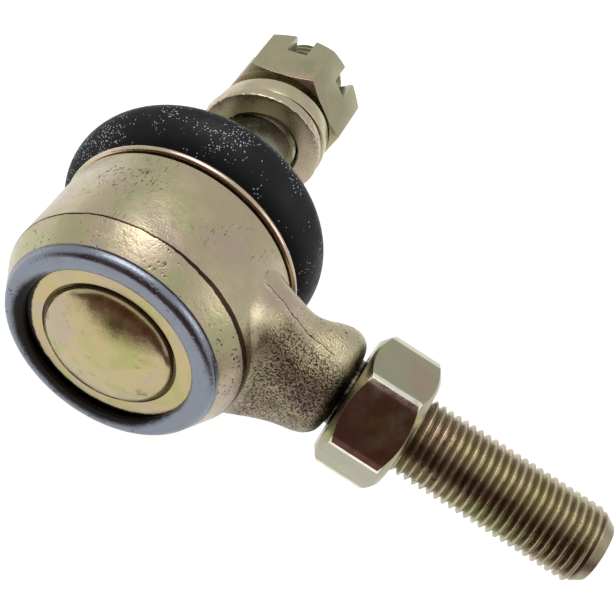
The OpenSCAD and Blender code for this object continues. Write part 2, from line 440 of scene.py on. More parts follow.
class Nodes:
    """Adds and links nodes in one node tree."""

    def __init__(self, tree: bpy.types.NodeTree) -> None:
        """Keeps the tree and empties it."""
        self.tree = tree
        tree.nodes.clear()

    def add(self, kind: str, inputs: dict | None = None, **values: object) -> bpy.types.Node:
        """Adds a node.

        Args:
            kind: The node's type name.
            inputs: Sockets by name or number, each a value or another node's output.
            **values: The node's own settings.

        Returns:
            The new node.
        """
        node = self.tree.nodes.new(kind)
        for key, value in values.items():
            setattr(node, key, value)
        for key, value in (inputs or {}).items():
            if isinstance(value, Socket):
                self.tree.links.new(value, node.inputs[key])
            else:
                node.inputs[key].default_value = value
        return node

    def math(self, operation: str, a: object, b: object = 0.0, clamp: bool = False) -> Socket:
        """Works out one sum and gives its output."""
        return self.add("ShaderNodeMath", {0: a, 1: b}, operation=operation, use_clamp=clamp).outputs[0]

    def times(self, a: object, b: object, clamp: bool = False) -> Socket:
        """Multiplies two values."""
        return self.math("MULTIPLY", a, b, clamp)

    def plus(self, a: object, b: object) -> Socket:
        """Adds two values."""
        return self.math("ADD", a, b)

    def minus(self, a: object, b: object) -> Socket:
        """Takes the second value from the first."""
        return self.math("SUBTRACT", a, b)

    def length(self, a: object, b: object) -> Socket:
        """Gives the distance from an axis, from the two coordinates across it."""
        return self.math("SQRT", self.plus(self.times(a, a), self.times(b, b)))

    def span(self, value: object, low: object, high: object, to_low: float = 0.0,
             to_high: float = 1.0) -> Socket:
        """Maps a value's span to another one, with smooth ends."""
        node = self.add("ShaderNodeMapRange", {"Value": value, "From Min": low, "From Max": high,
                                               "To Min": to_low, "To Max": to_high},
                        interpolation_type="SMOOTHSTEP")
        return node.outputs["Result"]

    def mix(self, share: object, a: object, b: object) -> Socket:
        """Mixes two colours and gives the result."""
        node = self.tree.nodes.new("ShaderNodeMix")
        node.data_type = "RGBA"
        for socket, value in ((node.inputs[0], share), (node.inputs[6], a), (node.inputs[7], b)):
            if isinstance(value, Socket):
                self.tree.links.new(value, socket)
            elif isinstance(value, float):
                socket.default_value = value
            else:
                socket.default_value = (*value, 1.0)
        return node.outputs[2]

    def noise(self, where: object, scale: float, detail: float = 3.0, rough: float = 0.5,
              distortion: float = 0.0) -> Socket:
        """Gives a noise value at a place."""
        node = self.add("ShaderNodeTexNoise", {"Vector": where, "Scale": scale, "Detail": detail,
                                               "Roughness": rough, "Distortion": distortion})
        return node.outputs["Fac"]


def new_group(name: str, inputs: Sequence[tuple[str, Kind, object]],
              outputs: Sequence[tuple[str, Kind]]) -> tuple[Nodes, bpy.types.Node, bpy.types.Node]:
    """Starts a shader node group.

    Args:
        name: The group's name.
        inputs: Name, kind and default of each input.
        outputs: Name and kind of each output.

    Returns:
        The group's nodes, its input node and its output node.
    """
    tree = bpy.data.node_groups.new(name, "ShaderNodeTree")
    nodes = Nodes(tree)
    for label, kind, default in inputs:
        socket = tree.interface.new_socket(name=label, in_out="INPUT", socket_type=kind.value)
        if default is not None:
            socket.default_value = default
    for label, kind in outputs:
        tree.interface.new_socket(name=label, in_out="OUTPUT", socket_type=kind.value)
    return nodes, nodes.add("NodeGroupInput"), nodes.add("NodeGroupOutput")


class Effects:
    """Shader groups that several finishes share."""

    def __init__(self) -> None:
        """Builds each group once."""
        self.chromate = self.build_chromate()
        self.pits = self.build_pits()
        self.grain = self.build_grain()
        self.specks = self.build_specks()

    @staticmethod
    def build_chromate() -> bpy.types.NodeTree:
        """Makes the drifting tints of a yellow chromate film."""
        n, source, out = new_group("chromate_film", [
            ("Where", Kind.VECTOR, None), ("Base", Kind.COLOUR, (0.5, 0.45, 0.3, 1)),
            ("Green", Kind.COLOUR, (0.4, 0.45, 0.25, 1)), ("Rose", Kind.COLOUR, (0.55, 0.38, 0.3, 1)),
            ("Scale", Kind.NUMBER, 120.0), ("Strength", Kind.NUMBER, 1.0)], [("Color", Kind.COLOUR)])
        where, scale, strength = (source.outputs[label] for label in ("Where", "Scale", "Strength"))
        elsewhere = n.add("ShaderNodeVectorMath", {0: where, 1: (0.31, 0.17, 0.23)},
                          operation="ADD").outputs[0]
        first = n.noise(where, scale, 3.0, 0.55, 0.8)
        second = n.noise(elsewhere, scale, 2.0, 0.5, 0.5)
        green = n.times(n.span(first, 0.48, 0.66), strength, True)
        rose = n.times(n.span(second, 0.5, 0.68), strength, True)
        tint = n.mix(green, source.outputs["Base"], source.outputs["Green"])
        tint = n.mix(rose, tint, source.outputs["Rose"])
        n.tree.links.new(tint, out.inputs["Color"])
        return n.tree

    @staticmethod
    def build_pits() -> bpy.types.NodeTree:
        """Makes the small dark pits of a forged skin, as a mask and a height."""
        n, source, out = new_group("forge_pits", [
            ("Where", Kind.VECTOR, None), ("Scale", Kind.NUMBER, 900.0), ("Amount", Kind.NUMBER, 0.5),
            ("Patches", Kind.NUMBER, 90.0)], [("Mask", Kind.NUMBER), ("Height", Kind.NUMBER)])
        where = source.outputs["Where"]
        warp = n.add("ShaderNodeTexNoise", {"Vector": where, "Scale": 700.0, "Detail": 2.0}).outputs["Color"]
        shift = n.add("ShaderNodeVectorMath", {0: warp, 3: 0.0012}, operation="SCALE").outputs[0]
        shifted = n.add("ShaderNodeVectorMath", {0: where, 1: shift}, operation="ADD").outputs[0]
        cells = n.add("ShaderNodeTexVoronoi", {"Vector": shifted, "Scale": source.outputs["Scale"],
                                               "Randomness": 1.0}, feature="F1")
        patch = n.noise(where, source.outputs["Patches"], 4.0, 0.65)
        reach = n.times(n.span(patch, 0.38, 0.68, 0.1, 1.0), source.outputs["Amount"])
        mask = n.span(cells.outputs["Distance"], 0.0, n.times(reach, 0.55), 1.0, 0.0)
        n.tree.links.new(mask, out.inputs["Mask"])
        n.tree.links.new(n.minus(1.0, mask), out.inputs["Height"])
        return n.tree

    @staticmethod
    def build_grain() -> bpy.types.NodeTree:
        """Makes a fine uneven grain, as a height and a value to vary gloss by."""
        n, source, out = new_group("metal_grain", [
            ("Where", Kind.VECTOR, None), ("Coarse", Kind.NUMBER, 400.0), ("Fine", Kind.NUMBER, 2500.0)],
            [("Height", Kind.NUMBER), ("Value", Kind.NUMBER)])
        where = source.outputs["Where"]
        coarse = n.noise(where, source.outputs["Coarse"], 3.0, 0.6)
        fine = n.noise(where, source.outputs["Fine"], 2.0, 0.6)
        n.tree.links.new(n.plus(n.times(coarse, 0.7), n.times(fine, 0.3)), out.inputs["Height"])
        n.tree.links.new(coarse, out.inputs["Value"])
        return n.tree

    @staticmethod
    def build_specks() -> bpy.types.NodeTree:
        """Makes patches of pale dust specks as a mask."""
        n, source, out = new_group("dust_specks", [
            ("Where", Kind.VECTOR, None), ("Scale", Kind.NUMBER, 3600.0), ("Amount", Kind.NUMBER, 0.5)],
            [("Mask", Kind.NUMBER)])
        where = source.outputs["Where"]
        cells = n.add("ShaderNodeTexVoronoi", {"Vector": where, "Scale": source.outputs["Scale"],
                                               "Randomness": 1.0}, feature="F1")
        lone = n.add("ShaderNodeTexWhiteNoise", {"Vector": cells.outputs["Position"]}, noise_dimensions="3D")
        patch = n.noise(where, 150.0, 5.0, 0.7)
        chance = n.times(n.span(patch, 0.44, 0.66), source.outputs["Amount"])
        picked = n.math("LESS_THAN", lone.outputs["Value"], chance)
        dot = n.span(cells.outputs["Distance"], 0.12, 0.4, 1.0, 0.0)
        n.tree.links.new(n.times(picked, dot), out.inputs["Mask"])
        return n.tree


# ---------------------------------------------------------------- finishes

@dataclass(frozen=True)
class Zinc:
    """Yellow chromated steel: its tints, gloss and surface."""

    name: str
    base: Colour = (0.44, 0.38, 0.245)
    green: Colour = (0.40, 0.39, 0.215)
    rose: Colour = (0.44, 0.345, 0.27)
    tint_scale: float = 110.0
    tint: float = 0.8
    rough: float = 0.27
    rough_spread: float = 0.12
    grain: float = 0.05
    pit_amount: float = 0.0
    pit_scale: float = 1100.0
    pit_depth: float = 0.2
    pit_colour: Colour = (0.035, 0.022, 0.018)

    def body(self, effects: Effects, n: Nodes, where: Socket) -> dict[str, Socket]:
        """Builds the colour, gloss and height that this finish starts from.

        Args:
            effects: The shared groups.
            n: The material's nodes.
            where: Object coordinates.

        Returns:
            The sockets named colour, rough and height.
        """
        grain = n.add("ShaderNodeGroup", {"Where": where}, node_tree=effects.grain)
        film = n.add("ShaderNodeGroup", {
            "Where": where, "Base": (*self.base, 1.0), "Green": (*self.green, 1.0), "Rose": (*self.rose, 1.0),
            "Scale": self.tint_scale, "Strength": self.tint}, node_tree=effects.chromate)
        colour = film.outputs["Color"]
        rough = n.span(grain.outputs["Value"], 0.3, 0.7, self.rough - self.rough_spread / 2,
                       self.rough + self.rough_spread / 2)
        height = grain.outputs["Height"]
        if self.pit_amount > 0.0:
            pits = n.add("ShaderNodeGroup", {"Where": where, "Scale": self.pit_scale,
                                             "Amount": self.pit_amount}, node_tree=effects.pits)
            colour = n.mix(pits.outputs["Mask"], colour, self.pit_colour)
            height = n.plus(n.times(height, self.grain / 0.2), n.times(
                pits.outputs["Height"], self.pit_depth))
        return {"colour": colour, "rough": rough, "height": height}

    def material(self, effects: Effects) -> Material:
        """Builds the material."""
        mat, n, where = blank_material(self.name)
        parts = self.body(effects, n, where)
        return finish_metal(mat, n, parts["colour"], parts["rough"], parts["height"], self.grain)


def blank_material(name: str) -> tuple[Material, Nodes, Socket]:
    """Starts a material and gives its nodes and object coordinates."""
    mat = bpy.data.materials.new(name)
    mat.use_nodes = True
    nodes = Nodes(mat.node_tree)
    return mat, nodes, nodes.add("ShaderNodeTexCoord").outputs["Object"]


def finish_metal(mat: Material, n: Nodes, colour: object, rough: object, height: object,
                 strength: float, metallic: float = 1.0, specular: float = 0.5) -> Material:
    """Ends a metal material with its shader.

    Args:
        mat: The material.
        n: Its nodes.
        colour: Base colour.
        rough: Roughness.
        height: Height of the surface's relief.
        strength: How strong the relief is.
        metallic: How metallic it is.
        specular: Level of its specular reflection.

    Returns:
        The material.
    """
    bump = n.add("ShaderNodeBump", {"Strength": strength, "Distance": 0.001, "Height": height})
    shader = n.add("ShaderNodeBsdfPrincipled", {
        "Base Color": colour, "Roughness": rough, "Metallic": metallic, "Specular IOR Level": specular,
        "Normal": bump.outputs["Normal"]})
    n.add("ShaderNodeOutputMaterial", {"Surface": shader.outputs[0]})
    return mat


@dataclass(frozen=True)
class ForgedZinc(Zinc):
    """The housing's finish: pitted forging, bare rolled lip, parting line and a dark root, with painted shade
    inside the lip and at the cone's step and a partly painted reflection on the neck.
    """

    lip_colour: Colour = (0.215, 0.235, 0.275)
    # Near black, for the streaks, the parting crack and the root band, and for the painted shade inside the
    # lip.
    soot_and_shade: Colour = (0.012, 0.010, 0.009)
    # Colour of the painted shade line round the cone's step.
    step_shade: Colour = (0.045, 0.022, 0.016)
    parting_y: float = -2.6
    eye_edge_y: float = -11.4

    def material(self, effects: Effects) -> Material:
        """Builds the material from the body's finish and the marks of each region."""
        mat, n, where = blank_material(self.name)
        parts = self.body(effects, n, where)
        colour, height = parts["colour"], parts["height"]
        x, y, z = n.add("ShaderNodeSeparateXYZ", {0: where}).outputs
        radius = n.length(x, z)
        ragged = n.noise(where, 420.0, 4.0, 0.75)
        fine = n.noise(where, 1700.0, 3.0, 0.7)
        skin = n.noise(where, 3300.0, 2.0, 0.65)

        # Fine streaks along the eye's machined side.
        along = n.add("ShaderNodeVectorMath", {0: where, 1: (1.0, 0.22, 1.0)},
                      operation="MULTIPLY").outputs[0]
        streak = n.times(n.span(n.noise(along, 3200.0, 2.0, 0.6), 0.57, 0.68),
                        n.span(n.noise(where, 90.0, 3.0, 0.6), 0.44, 0.62, 0.05, 0.9))
        streak = n.times(streak, n.span(y, -0.0119, -0.0108, 0.06, 1.0))
        colour = n.mix(n.times(streak, n.span(x, 0.015, 0.018, 0.9, 0.0)), colour, self.soot_and_shade)

        # Painted shade: a dark, brownish line round the step between the cylinder and the cone.
        edge = n.math("ABSOLUTE", n.minus(n.plus(y, n.times(ragged, 0.0005)),
                                         self.eye_edge_y * MM + 0.0002))
        wide = n.span(x, -0.004, 0.014, 0.00012, 0.0004)
        line = n.times(n.math("LESS_THAN", edge, wide), n.span(radius, 0.0172, 0.0176))
        colour = n.mix(line, colour, self.step_shade)

        # The neck's pebbled skin. Its low side is painted a brownish tone, partly a stain and partly a
        # painted reflection of the dark room, and the skin's valleys there are painted near black.
        below = n.span(n.plus(y, n.times(ragged, 0.003)), -0.0035, -0.0005, 1.0, 0.0)
        neck = n.times(n.span(x, 0.0165, 0.020), n.span(x, 0.0302, 0.0308, 1.0, 0.0))
        pebble = n.times(neck, n.span(y, -0.006, 0.006, 1.0, 0.35))
        dark = n.times(neck, below)
        colour = n.mix(n.times(dark, n.span(ragged, 0.4, 0.62, 0.15, 0.55)), colour, (0.15, 0.085, 0.06))
        valley = n.times(n.span(skin, 0.40, 0.56, 1.0, 0.0), dark)
        colour = n.mix(n.times(valley, 0.9), colour, (0.02, 0.011, 0.009))
        # A dark band round the neck's root, where it meets the shank.
        root = n.times(n.span(x, 0.0285, 0.0303), n.span(x, 0.0318, 0.0325, 1.0, 0.0))
        colour = n.mix(n.times(root, n.span(ragged, 0.35, 0.6, 0.5, 1.0)), colour, self.soot_and_shade)
        height = n.plus(height, n.times(n.times(skin, pebble), 1.5))

        # Dirt in the thread's grooves.
        off_axis = n.length(y, z)
        threaded = n.span(x, 0.0308, 0.031)
        groove = n.times(n.span(off_axis, 0.00535, 0.00585, 0.4, 0.0), threaded)
        colour = n.mix(groove, colour, (0.05, 0.035, 0.02))

        # Parting line with a raised side.
        wobble = n.times(n.minus(n.noise(where, 260.0, 4.0, 0.7), 0.5), 0.0022)
        off = n.math("ABSOLUTE", n.minus(n.minus(y, wobble), self.parting_y * MM))
        reach = n.times(n.span(x, 0.0125, 0.015), n.span(x, 0.0262, 0.0272, 1.0, 0.0))
        crack = n.times(n.span(off, 0.00003, 0.00013, 1.0, 0.0), reach)
        ridge = n.times(n.span(off, 0.0001, 0.0009, 1.0, 0.0), reach)
        colour = n.mix(crack, colour, self.soot_and_shade)
        height = n.plus(height, n.minus(n.times(ridge, 0.4),
                                              n.times(crack, 0.5)))

        # Bare rolled lip, with painted shade on its inside towards its low side and dark specks there.
        lip = n.times(n.span(y, -0.01555, -0.01535, 1.0, 0.0), n.span(radius, 0.0168, 0.0171, 1.0, 0.0))
        colour = n.mix(lip, colour, self.lip_colour)
        low_side = n.span(n.math("DIVIDE", n.plus(n.times(x, -0.5), n.times(z, -0.87)),
                                 radius), -0.3, 0.8, 0.0129, 0.0146)
        lip_shade_edge = n.minus(n.plus(low_side, n.times(ragged, 0.0008)),
                           n.times(fine, 0.0008))
        lip_shade = n.span(n.minus(radius, lip_shade_edge), -0.0006, 0.0006, 1.0, 0.0)
        colour = n.mix(n.times(lip, lip_shade), colour, self.soot_and_shade)
        speck = n.times(n.span(fine, 0.6, 0.66), n.span(low_side, 0.0135, 0.0147))
        colour = n.mix(n.times(lip, speck), colour, self.soot_and_shade)
        rough = n.plus(parts["rough"], n.times(neck, 0.04))
        return finish_metal(mat, n, colour, rough, height, 0.3)


@dataclass(frozen=True)
class JamZinc(Zinc):
    """The jam nut's finish: all six corners painted bright."""

    bright_corner: Colour = (0.86, 0.83, 0.70)
    bright_from: float = 10.22
    bright_to: float = 10.42

    def material(self, effects: Effects) -> Material:
        """Builds the material."""
        mat, n, where = blank_material(self.name)
        parts = self.body(effects, n, where)
        _, y, z = n.add("ShaderNodeSeparateXYZ", {0: where}).outputs
        # Paints the six corners pale and bright.
        corner = n.span(n.length(y, z), self.bright_from * MM, self.bright_to * MM)
        bright_share = n.times(corner, n.span(n.noise(where, 600.0), 0.3, 0.5, 0.6, 0.95))
        colour = n.mix(bright_share, parts["colour"], self.bright_corner)
        return finish_metal(mat, n, colour, parts["rough"], parts["height"], self.grain)


@dataclass(frozen=True)
class CoverZinc(Zinc):
    """The cover plate's finish: painted shade where the flange meets the lip, wider on its low side, a dark
    line at the dome's foot and dark patches on the dome.
    """

    # Colour of the painted shade where the plate meets the lip.
    groove: Colour = (0.014, 0.012, 0.010)
    foot_r: float = 9.95

    def material(self, effects: Effects) -> Material:
        """Builds the material from the body's finish, the painted shade and the dark marks."""
        mat, n, where = blank_material(self.name)
        parts = self.body(effects, n, where)
        x, _, z = n.add("ShaderNodeSeparateXYZ", {0: where}).outputs
        radius = n.length(x, z)
        ragged = n.times(n.noise(where, 700.0, 4.0, 0.7), 0.0006)
        # Painted shade where the plate meets the lip, reaching further in on the low side.
        side = n.span(n.math("DIVIDE", n.plus(n.times(x, -0.5), n.times(z, -0.87)),
                             radius), -0.2, 0.8, 0.01295, 0.0121)
        lip_shade = n.span(n.plus(radius, ragged), side, n.plus(side, 0.0003))
        colour = n.mix(lip_shade, parts["colour"], self.groove)
        # A dark line round the dome's foot.
        foot = n.math("ABSOLUTE", n.minus(radius, self.foot_r * MM))
        colour = n.mix(n.span(foot, 0.00008, 0.0003, 0.85, 0.0), colour, (0.05, 0.02, 0.01))
        # Dark reddish-brown patches on the dome.
        dark_patch = n.times(n.span(n.noise(where, 330.0, 4.0, 0.7), 0.56, 0.72, 0.0, 0.55),
                        n.span(radius, 0.009, 0.0097, 1.0, 0.0))
        colour = n.mix(dark_patch, colour, (0.09, 0.04, 0.03))
        return finish_metal(mat, n, colour, parts["rough"], parts["height"], self.grain)


@dataclass(frozen=True)
class Rubber:
    """Satin black rubber with pale dust."""

    name: str = "boot_rubber_satin"
    colour: Colour = (0.006, 0.006, 0.007)
    dust: Colour = (0.55, 0.57, 0.6)
    rough: float = 0.46
    dust_amount: float = 0.8

    def material(self, effects: Effects) -> Material:
        """Builds the material."""
        mat, n, where = blank_material(self.name)
        grain = n.add("ShaderNodeGroup", {"Where": where}, node_tree=effects.grain)
        specks = n.add("ShaderNodeGroup", {"Where": where, "Amount": self.dust_amount},
                       node_tree=effects.specks)
        bloom = n.span(n.noise(where, 90.0, 5.0, 0.65), 0.45, 0.75, 0.0, 0.1)
        colour = n.mix(bloom, self.colour, (0.06, 0.06, 0.08))
        colour = n.mix(specks.outputs["Mask"], colour, self.dust)
        rough = n.span(grain.outputs["Value"], 0.3, 0.7, self.rough - 0.06, self.rough + 0.1)
        return finish_metal(mat, n, colour, rough, grain.outputs["Height"], 0.06, 0.0, 0.14)


@dataclass(frozen=True)
class Plastic:
    """Natural acetal of the seats."""

    name: str = "seat_acetal"
    colour: Colour = (0.72, 0.70, 0.62)

    def material(self, effects: Effects) -> Material:
        """Builds the material."""
        mat, n, where = blank_material(self.name)
        grain = n.add("ShaderNodeGroup", {"Where": where}, node_tree=effects.grain)
        colour = n.mix(n.span(grain.outputs["Value"], 0.3, 0.7, 0.0, 0.25), self.colour, (0.62, 0.58, 0.46))
        return finish_metal(mat, n, colour, n.span(grain.outputs["Value"], 0.3, 0.7, 0.35, 0.5),
                            grain.outputs["Height"], 0.04, 0.0)


# ---------------------------------------------------------------- sub-assemblies

@dataclass
class Housing:
    """Forged eye with its rolled lip, neck and threaded shank, in millimetres."""

    eye_r: float = 18.5
    eye_top: float = 3.2
    eye_bottom: float = -11.4
    lip_inner_r: float = 12.8
    lip_outer_r: float = 16.2
    lip_at: float = -15.9
    lip_h: float = 1.0
    plate_seat: float = -14.0
    counterbore_r: float = 14.5
    cavity_r: float = 13.4
    ledge: float = 4.2
    mouth_r: float = 10.5
    collar_r: float = 16.2
    collar_top: float = 7.0
    shoulder_end: float = 30.8
    shank_r: float = 6.0
    pitch: float = 1.25
    shank_end: float = 73.3
    neck: tuple[tuple[float, ...], ...] = (
        (10.0, -2.98, 5.9, 13.1, 4.5), (14.0, -2.95, 5.9, 12.6, 4.5), (17.8, -2.85, 5.95, 11.7, 4.5),
        (19.8, -2.65, 6.2, 10.5, 4.6), (22.2, -2.15, 6.75, 8.75, 5.2), (24.0, -1.3, 7.6, 8.5, 6.4),
        (26.0, -0.3, 8.6, 8.75, 8.0), (27.5, 0.0, 8.66, 8.66, 8.5), (28.7, 0.0, 8.62, 8.62, 8.4),
        (29.8, 0.0, 8.15, 8.15, 8.0), (30.4, 0.0, 7.45, 7.45, 7.3), (30.75, 0.0, 6.6, 6.6, 6.5))

    def eye_outline(self) -> list[Point]:
        """Gives the eye's closed outline: lip, cone, cylinder, collar, mouth and cavity."""
        crest = self.lip_at - self.lip_h
        lip = arc(self.lip_inner_r + 0.4, self.lip_at, 0.4, self.lip_h - 0.12, 180, 262, 8)
        lip += [(14.0, crest)]
        lip += arc(15.0, self.lip_at + 0.2, self.lip_outer_r - 15.0, self.lip_h + 0.2, 270, 360, 16)
        outside = [(self.lip_outer_r, self.lip_at + 0.25), (self.lip_outer_r + 0.25, self.lip_at + 0.45),
                   (self.eye_r, self.eye_bottom), (self.eye_r, self.eye_top), (self.collar_r, self.eye_top),
                   (self.collar_r, self.collar_top), (self.mouth_r + 2, self.collar_top)]
        inside = [(self.mouth_r, 5.5), (self.mouth_r, self.ledge), (self.cavity_r, self.ledge),
                  (self.cavity_r, self.plate_seat), (self.counterbore_r, self.plate_seat),
                  (self.counterbore_r, self.lip_at), (self.lip_inner_r, self.lip_at)]
        return lip + outside + inside

    def make_eye(self) -> Obj:
        """Turns the eye and rounds its edges."""
        eye = lathe("housing_forged", self.eye_outline(), 192)
        soften(eye, 0.22, 3, 20.0)
        eye.data.transform(LAYOUT.eye())
        return eye

    def neck_point(self, around: float, x: float) -> Vector:
        """Gives a point of the neck's skin.

        Args:
            around: Share of the way round.
            x: Place along the shank.

        Returns:
            The point.
        """
        centre, half_y, half_z, corner = along_curve(self.neck, x)
        a = 2 * math.pi * around
        c, s = math.cos(a), math.sin(a)
        flat = math.pi / 2
        wide = math.sin(flat * max(-1.0, min(1.0, 1.3 * c)))
        tall = math.sin(flat * max(-1.0, min(1.0, 1.3 * s)))
        return Vector((x, centre + (half_y - corner) * wide + corner * c,
                       (half_z - corner) * tall + corner * s))

    def make_neck(self) -> Obj:
        """Blends the neck into the eye as one forging, then roughens its skin."""
        first, last = self.neck[0][0], self.neck[-1][0]

        def place(u: float, v: float) -> Vector:
            """Closes the neck's ends on its axis."""
            return self.neck_point(u, first + (last - first) * v)

        neck = wrap("neck", 128, 90, place)
        deselect()
        blank_h = self.eye_top - self.eye_bottom - 0.1
        bpy.ops.mesh.primitive_cylinder_add(vertices=192, radius=self.eye_r - 0.08, depth=blank_h)
        blank = named("blank")
        blank.data.transform(LAYOUT.eye())
        blank.data.transform(Matrix.Translation((0.0, (self.eye_top + self.eye_bottom) / 2, 0.0)))
        join(neck, blank)
        change(neck, "fuse", "REMESH", mode="VOXEL", voxel_size=0.3)
        edit_all(neck)
        bpy.ops.mesh.bisect(plane_co=(9.0, 0.0, 0.0), plane_no=(1.0, 0.0, 0.0), use_fill=True,
                            clear_inner=True)
        bpy.ops.mesh.select_all(action="SELECT")
        bpy.ops.mesh.vertices_smooth(factor=0.5, repeat=6)
        bpy.ops.object.mode_set(mode="OBJECT")
        for v in neck.data.vertices:
            v.select = 10.5 < v.co.x < 21.5 and abs(v.co.z) > 1.0
        bpy.ops.object.mode_set(mode="EDIT")
        bpy.ops.mesh.select_mode(type="VERT")
        bpy.ops.mesh.vertices_smooth(factor=0.5, repeat=160)
        bpy.ops.object.mode_set(mode="OBJECT")

        def forge(p: Vector) -> Vector:
            """Gives the skin the waviness of a die."""
            out = Vector((0.0, p.y + 1.5, p.z)).normalized()
            share = smooth_step((p.x - 17.0) / 4.0) * smooth_step((31.0 - p.x) / 1.0)
            wave = noise.noise(p * 0.35) * 0.1 + noise.noise(p * 1.6) * 0.04 + noise.noise(p * 3.2) * 0.03
            return p + out * wave * share

        return reshape(neck, forge)

    def make_shank(self) -> Obj:
        """Rolls the shank's thread and chamfers its end."""
        thread = rolled_thread("shank", self.shank_r, self.pitch, self.shoulder_end - 0.4, self.shank_end)
        root = self.shank_r - THREAD_DEPTH * self.pitch

        def limit(height: float) -> float:
            """Chamfer at the end, run-out at the shoulder."""
            end = 4.5 + (self.shank_end - height) * 0.62
            start = root + max(0.0, height - self.shoulder_end - 0.2) * 1.2
            return min(self.shank_r, end, start)

        hold_in(thread, limit)
        thread.data.transform(LAYOUT.shank())
        return thread

    def build(self, effects: Effects) -> list[Obj]:
        """Builds and dresses the housing.

        Args:
            effects: The shared shader groups.

        Returns:
            The finished pieces.
        """
        piece = join(self.make_eye(), self.make_neck(), self.make_shank())
        settle(piece, Matrix.Identity(4), 28.0)
        finish = ForgedZinc("forged_zinc", pit_amount=0.75, pit_scale=1300.0, grain=0.06, rough=0.3)
        stand_for(piece, finish.material(effects), "housing", "housing", "forged_body")
        return [piece]


@dataclass
class Cover:
    """Pressed cover plate and the boot's wire clamp ring, in millimetres."""

    plate_r: float = 14.45
    plate_seat: float = -14.0
    plate_at: float = -15.9
    thickness: float = 1.9
    dome_r: float = 9.9
    dome_h: float = 3.0
    ring_r: float = 18.4
    ring_at: float = 4.5

    def make_plate(self) -> Obj:
        """Turns the plate with its crowned dome and the crease at the dome's foot."""
        crown = self.plate_at - self.dome_h
        dome = arc(0.0, self.plate_at + 0.1, self.dome_r, -self.dome_h - 0.1, 0, 22, 8)
        rim = dome[-1]
        cap = [(rim[0] * (1 - i / 14), crown + (rim[1] - crown) * (1 - i / 14) ** 1.9) for i in range(1, 15)]
        outline = [(self.plate_r, self.plate_seat), (self.plate_r, self.plate_at),
                   (self.dome_r + 0.45, self.plate_at), (self.dome_r + 0.25, self.plate_at + 0.28),
                   (self.dome_r + 0.02, self.plate_at + 0.1)]
        inside = [(0.0, crown + self.thickness), (self.dome_r - 3, crown + self.thickness + 0.3),
                  (self.dome_r - 2, self.plate_seat), (self.plate_r, self.plate_seat)]
        plate = lathe("cover_plate_pressed", outline + dome + cap + inside, 160)
        return settle(plate, LAYOUT.eye(), 32.0)

    def make_ring(self) -> Obj:
        """Turns the clamp ring from a half-round band."""
        band = [(self.ring_r - 0.48, self.ring_at - 0.55)] + arc(
            self.ring_r - 0.1, self.ring_at, 0.58, 0.58, -80, 80, 12) + [
            (self.ring_r - 0.48, self.ring_at + 0.55), (self.ring_r - 0.48, self.ring_at - 0.55)]
        return settle(lathe("clamp_ring_wire", band, 192), LAYOUT.eye())

    def build(self, effects: Effects) -> list[Obj]:
        """Builds and dresses the plate and the ring."""
        plate, ring = self.make_plate(), self.make_ring()
        pressed = CoverZinc("cover_zinc", base=(0.46, 0.38, 0.2), green=(0.36, 0.36, 0.14), rough=0.24,
                            tint_scale=160.0, grain=0.04)
        wire = Zinc("ring_zinc", base=(0.58, 0.46, 0.34), rough=0.18)
        stand_for(plate, pressed.material(effects), "cover_plate", "housing", "cover")
        stand_for(ring, wire.material(effects), "clamp_ring", "housing", "ring")
        return [plate, ring]


